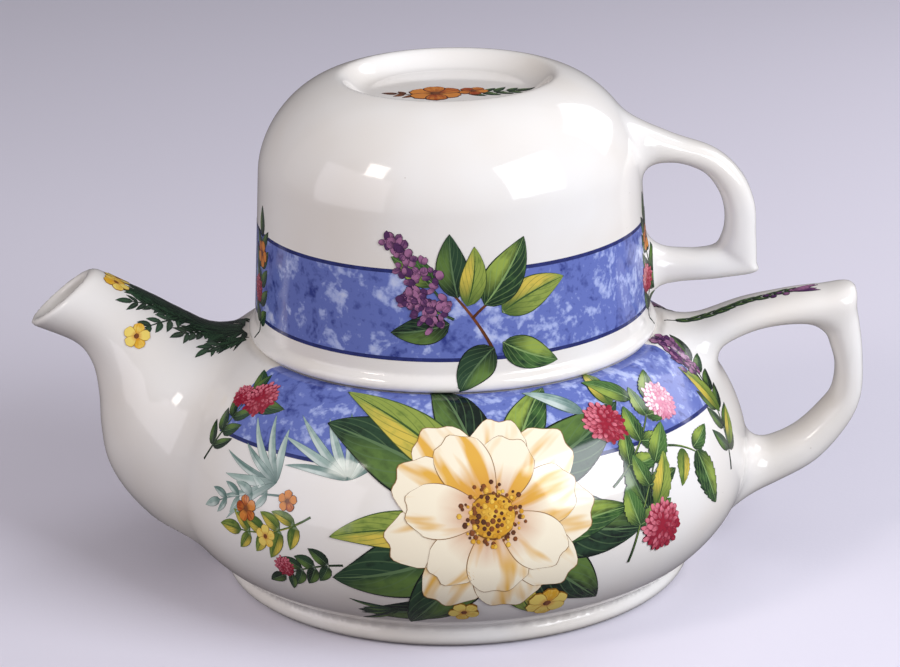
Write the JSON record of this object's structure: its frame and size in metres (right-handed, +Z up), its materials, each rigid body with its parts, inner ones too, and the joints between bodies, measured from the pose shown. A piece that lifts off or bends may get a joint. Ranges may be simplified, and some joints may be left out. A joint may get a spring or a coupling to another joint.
{
  "type": "tea for one teapot with cup",
  "caption": "Squat porcelain teapot with a spout, loop handle and hidden lid, and its own teacup stored upside down on the shoulder, for one person's tea.",
  "frame": {"origin": "centre of the pot's foot ring, on the surface that it stands on", "axes": "+Z up along the axis of the pot and the cup, spout towards -X, both handles towards +X"},
  "size_m": [0.2036, 0.144, 0.123],
  "materials": {
    "porcelain": "gloss"
  },
  "bodies": {
    "root": {"teapot": "porcelain", "lid": "porcelain", "cup": "porcelain"}
  },
  "joints": []
}
